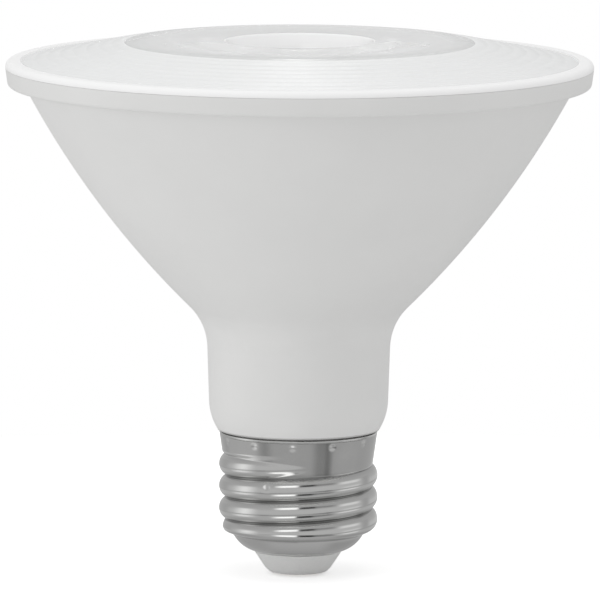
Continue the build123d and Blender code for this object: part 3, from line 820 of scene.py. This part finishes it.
def makeFloor(s):
    top, under = s["floorZ"]
    floor = spin("floor", [(0, top), (s["floorRadius"], top), (s["floorRadius"], under), (0, under)], 96)
    material, tree = newMaterial("white_table")
    path = addNode(tree, "LightPath")
    seen = addNode(tree, "Math", {0: path.outputs["Is Camera Ray"], 1: path.outputs["Is Transmission Ray"]},
                   operation="MAXIMUM")
    plain = addNode(tree, "BsdfDiffuse", {"Color": hexColour(s["floorColour"])})
    pale = addNode(tree, "BsdfDiffuse", {"Color": hexColour(s["floorSeen"])})
    glow = addNode(tree, "Emission", {"Color": (1, 1, 1, 1), "Strength": s["floorGlow"]})
    lifted = addNode(tree, "AddShader", {0: pale.outputs[0], 1: glow.outputs[0]})
    mix = addNode(tree, "MixShader", {0: seen.outputs[0], 1: plain.outputs[0], 2: lifted.outputs[0]})
    addNode(tree, "OutputMaterial", {"Surface": mix.outputs[0]})
    floor.data.materials.append(material)
    floor.visible_glossy = False  # metal mirrors the room below instead


# the room that metal and lens mirror: plain grey, with bright panels and dark flags in it;
# turn and tilt are the way a mirror has to face, in degrees, to show that bit to the camera
room = {
    "plain": [(-90, 0.2), (-70, 0.3), (-55, 0.47), (-40, 0.56), (-25, 0.62), (-11.5, 0.62),
              (-9.6, 0.48), (-6.8, 0.48), (-4.8, 0.7), (10, 0.72), (20, 0.62),
              (50, 0.5), (70, 0.6), (82, 0.7), (86, 0.82), (90, 0.82)],
    "patches": [
        # strip light
        {"turn": (-16.5, -1.2), "tilt": (18.5, 27), "soft": (9, 1, 5), "grey": 1.8},
        # its image in the table
        {"turn": (-16.5, -1.2), "tilt": (-22.5, -15), "soft": (9, 1, 4), "grey": 1.8},
        # dark flags beside them
        {"turn": (-0.2, 13), "tilt": (18.5, 27), "soft": (1, 7, 4), "grey": 0.04},
        {"turn": (-0.2, 13), "tilt": (-24, -15), "soft": (1, 7, 4), "grey": 0.04},
        # and their grey ends
        {"turn": (12, 27), "tilt": (18.5, 27), "soft": (4, 8, 4), "grey": 0.36},
        {"turn": (12, 27), "tilt": (-22.5, -15), "soft": (4, 8, 4), "grey": 0.3},
        # left panel
        {"turn": (-50, -36), "tilt": (-6, 20), "soft": (16, 14, 8), "grey": 1.25},
        {"turn": (-52, -35), "tilt": (-20, -10.2), "soft": (16, 14, 3), "grey": 1.15},
        {"turn": (-64, -33), "tilt": (-10.5, -6), "soft": (8, 6, 1), "grey": 0.58},
        # dark past its edge
        {"turn": (-100, -62), "tilt": (-6, 30), "soft": (1, 12, 4), "grey": 0.54},
        # right panel
        {"turn": (31, 50), "tilt": (14, 25), "soft": (8, 10, 5), "grey": 1.05},
        {"turn": (34, 52), "tilt": (-5.5, 2), "soft": (10, 10, 4), "grey": 0.9},
        {"turn": (31, 50), "tilt": (-17, -11), "soft": (8, 10, 3), "grey": 1.1},
        {"turn": (53, 62), "tilt": (-6, 30), "soft": (8, 6, 4), "grey": 0.52},
        # both sides under the bowl
        {"turn": (-100, -28), "tilt": (-78, -30), "soft": (1, 20, 8), "grey": 0.5},
        {"turn": (28, 100), "tilt": (-78, -30), "soft": (20, 1, 8), "grey": 0.45},
        # grey streak on the collar
        {"turn": (12, 26), "tilt": (-10.5, -6), "soft": (8, 3, 2), "grey": 0.3},
        {"turn": (20.5, 24), "tilt": (-10.5, -6), "soft": (2, 3, 2), "grey": 0.2},
        {"turn": (-29, -22), "tilt": (-10.5, -6), "soft": (8, 8, 2), "grey": 0.34},
        # streak over the lens rings
        {"turn": (-9, 8), "tilt": (76, 86), "soft": (6, 6, 4), "grey": 1.75},
        # shade near the well
        {"turn": (-80, 80), "tilt": (84, 89), "soft": (40, 40, 3), "grey": 0.7},
    ],
}


def makeWorld(s):
    world = bpy.data.worlds.new("studio")
    bpy.context.scene.world = world
    world.use_nodes = True
    world.cycles.sampling_method = "NONE"  # glossy rays then find the room, not the plain ambient
    tree = world.node_tree
    tree.nodes.clear()
    path = addNode(tree, "LightPath")
    spot = addNode(tree, "TexCoord")
    lean = math.radians(s["elevation"])
    toCamera = (0, -math.cos(lean), math.sin(lean))
    half = addNode(tree, "VectorMath", {0: spot.outputs["Generated"], 1: toCamera}, operation="ADD")
    facing = addNode(tree, "VectorMath", {0: half.outputs[0]}, operation="NORMALIZE")
    parts = addNode(tree, "SeparateXYZ", {0: facing.outputs[0]})
    front = addNode(tree, "Math", {0: parts.outputs["Y"], 1: -1.0}, operation="MULTIPLY")
    around = addNode(tree, "Math", {0: parts.outputs["X"], 1: front.outputs[0]}, operation="ARCTAN2")
    turn = addNode(tree, "Math", {0: around.outputs[0]}, operation="DEGREES")
    rise = addNode(tree, "Math", {0: parts.outputs["Z"]}, operation="ARCSINE")
    tilt = addNode(tree, "Math", {0: rise.outputs[0]}, operation="DEGREES")
    share = addNode(tree, "MapRange", {"Value": tilt.outputs[0], 1: -90.0, 2: 90.0})
    plain = addNode(tree, "ValToRGB", {"Fac": share.outputs[0]})
    plain.color_ramp.elements.remove(plain.color_ramp.elements[1])
    for i, (deg, grey) in enumerate(room["plain"]):
        at = (deg + 90) / 180
        element = plain.color_ramp.elements[0] if i == 0 else plain.color_ramp.elements.new(at)
        element.position = at
        element.color = (grey, grey, grey, 1)
    seen = plain.outputs[0]
    for patch in room["patches"]:
        cover = 1.0
        left, right, level = (soft / 2 for soft in patch["soft"])
        edges = [(turn, patch["turn"][0], left, 0.0), (turn, patch["turn"][1], right, 1.0),
                 (tilt, patch["tilt"][0], level, 0.0), (tilt, patch["tilt"][1], level, 1.0)]
        for way, edge, soft, before in edges:
            ramp = addNode(tree, "MapRange", {"Value": way.outputs[0], 1: edge - soft, 2: edge + soft,
                                              3: before, 4: 1 - before}, interpolation_type="SMOOTHSTEP")
            cover = addNode(tree, "Math", {0: cover, 1: ramp.outputs[0]}, operation="MULTIPLY").outputs[0]
        seen = addNode(tree, "Mix", {0: cover, 2: seen, 3: patch["grey"]}).outputs[0]
    mirrorRoom = addNode(tree, "Background", {"Color": seen, "Strength": 1.0})
    white = addNode(tree, "Background", {"Color": (1, 1, 1, 1), "Strength": 1.0})
    through = addNode(tree, "Background", {"Color": (1, 1, 1, 1), "Strength": s["through"]})
    ambient = addNode(tree, "Background", {"Color": (1, 1, 1, 1), "Strength": s["ambient"]})
    mirrored = addNode(tree, "MixShader", {0: path.outputs["Is Glossy Ray"], 1: ambient.outputs[0],
                                           2: mirrorRoom.outputs[0]})
    inside = addNode(tree, "MixShader", {0: path.outputs["Is Transmission Ray"], 1: mirrored.outputs[0],
                                         2: through.outputs[0]})
    final = addNode(tree, "MixShader", {0: path.outputs["Is Camera Ray"], 1: inside.outputs[0],
                                        2: white.outputs[0]})
    addNode(tree, "OutputWorld", {"Surface": final.outputs[0]})


# soft boxes: place and size in mm, aimed at a height on the lamp's axis
boxes = {
    "left_box": {"at": (-1000, -420, 150), "size": (700, 600), "watts": 2.0, "aim": 50},
    "top_box": {"at": (60, -240, 1300), "size": (1000, 900), "watts": 4.8, "aim": 60},
}


def makeBoxes():
    for name, box in boxes.items():
        data = bpy.data.lights.new(name, "AREA")
        data.shape = "RECTANGLE"
        data.size, data.size_y = (side * mm for side in box["size"])
        data.energy = box["watts"]
        lamp = bpy.data.objects.new(name, data)
        bpy.context.scene.collection.objects.link(lamp)
        lamp.visible_glossy = False  # the room's panels are mirrored instead
        lamp.location = Vector(box["at"]) * mm
        toward = Vector((0, 0, box["aim"] * mm)) - lamp.location
        lamp.rotation_euler = toward.to_track_quat("-Z", "Y").to_euler()


makeCamera(studio)
makeFloor(studio)
makeWorld(studio)
makeBoxes()
bpy.context.scene.view_settings.view_transform = "Standard"
